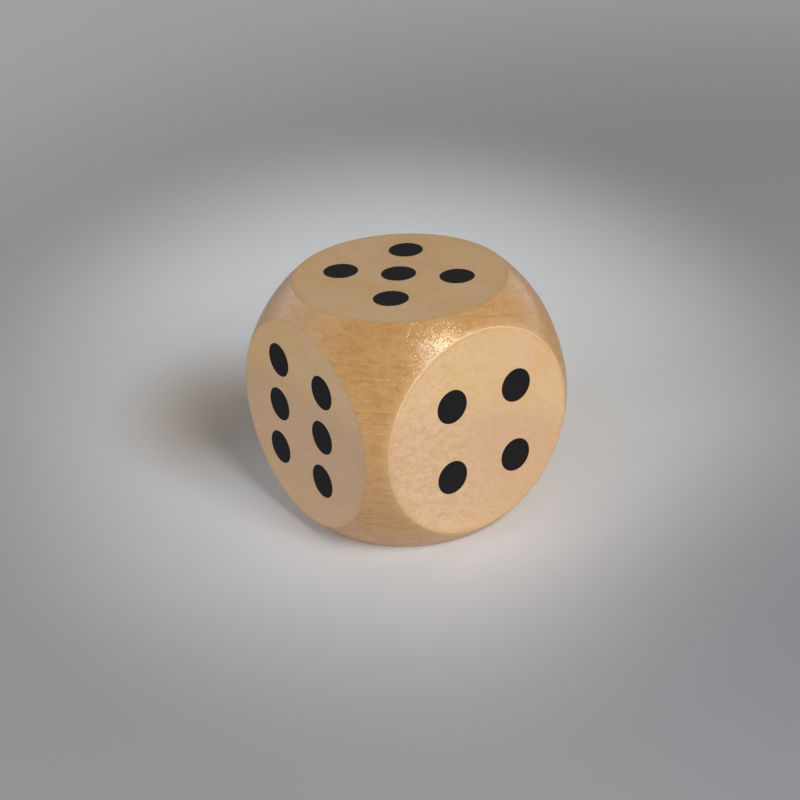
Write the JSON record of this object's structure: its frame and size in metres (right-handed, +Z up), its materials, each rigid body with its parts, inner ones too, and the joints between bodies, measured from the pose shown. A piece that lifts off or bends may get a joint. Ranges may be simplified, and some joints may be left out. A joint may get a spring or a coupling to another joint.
{
  "type": "wooden die",
  "caption": "Wooden playing die, a cube turned round at its edges and corners, with a round flat on each face and black printed pips.",
  "frame": {"origin": "middle of the face that the die rests on, which carries the two", "axes": "+Z up, out of the face of the five; +X out of the face of the one; +Y out of the face of the three, so the four faces -Y and the six faces -X"},
  "size_m": [0.03, 0.03, 0.03],
  "materials": {
    "wood": "sealed pale hardwood, matt sanded flats, satin turned round",
    "ink": "black print ink, matt, level with the wood"
  },
  "bodies": {
    "root": {"body": "wood", "one_pip": "ink", "two_pips": "ink", "three_pips": "ink", "four_pips": "ink", "five_pips": "ink", "six_pips": "ink"}
  },
  "joints": []
}
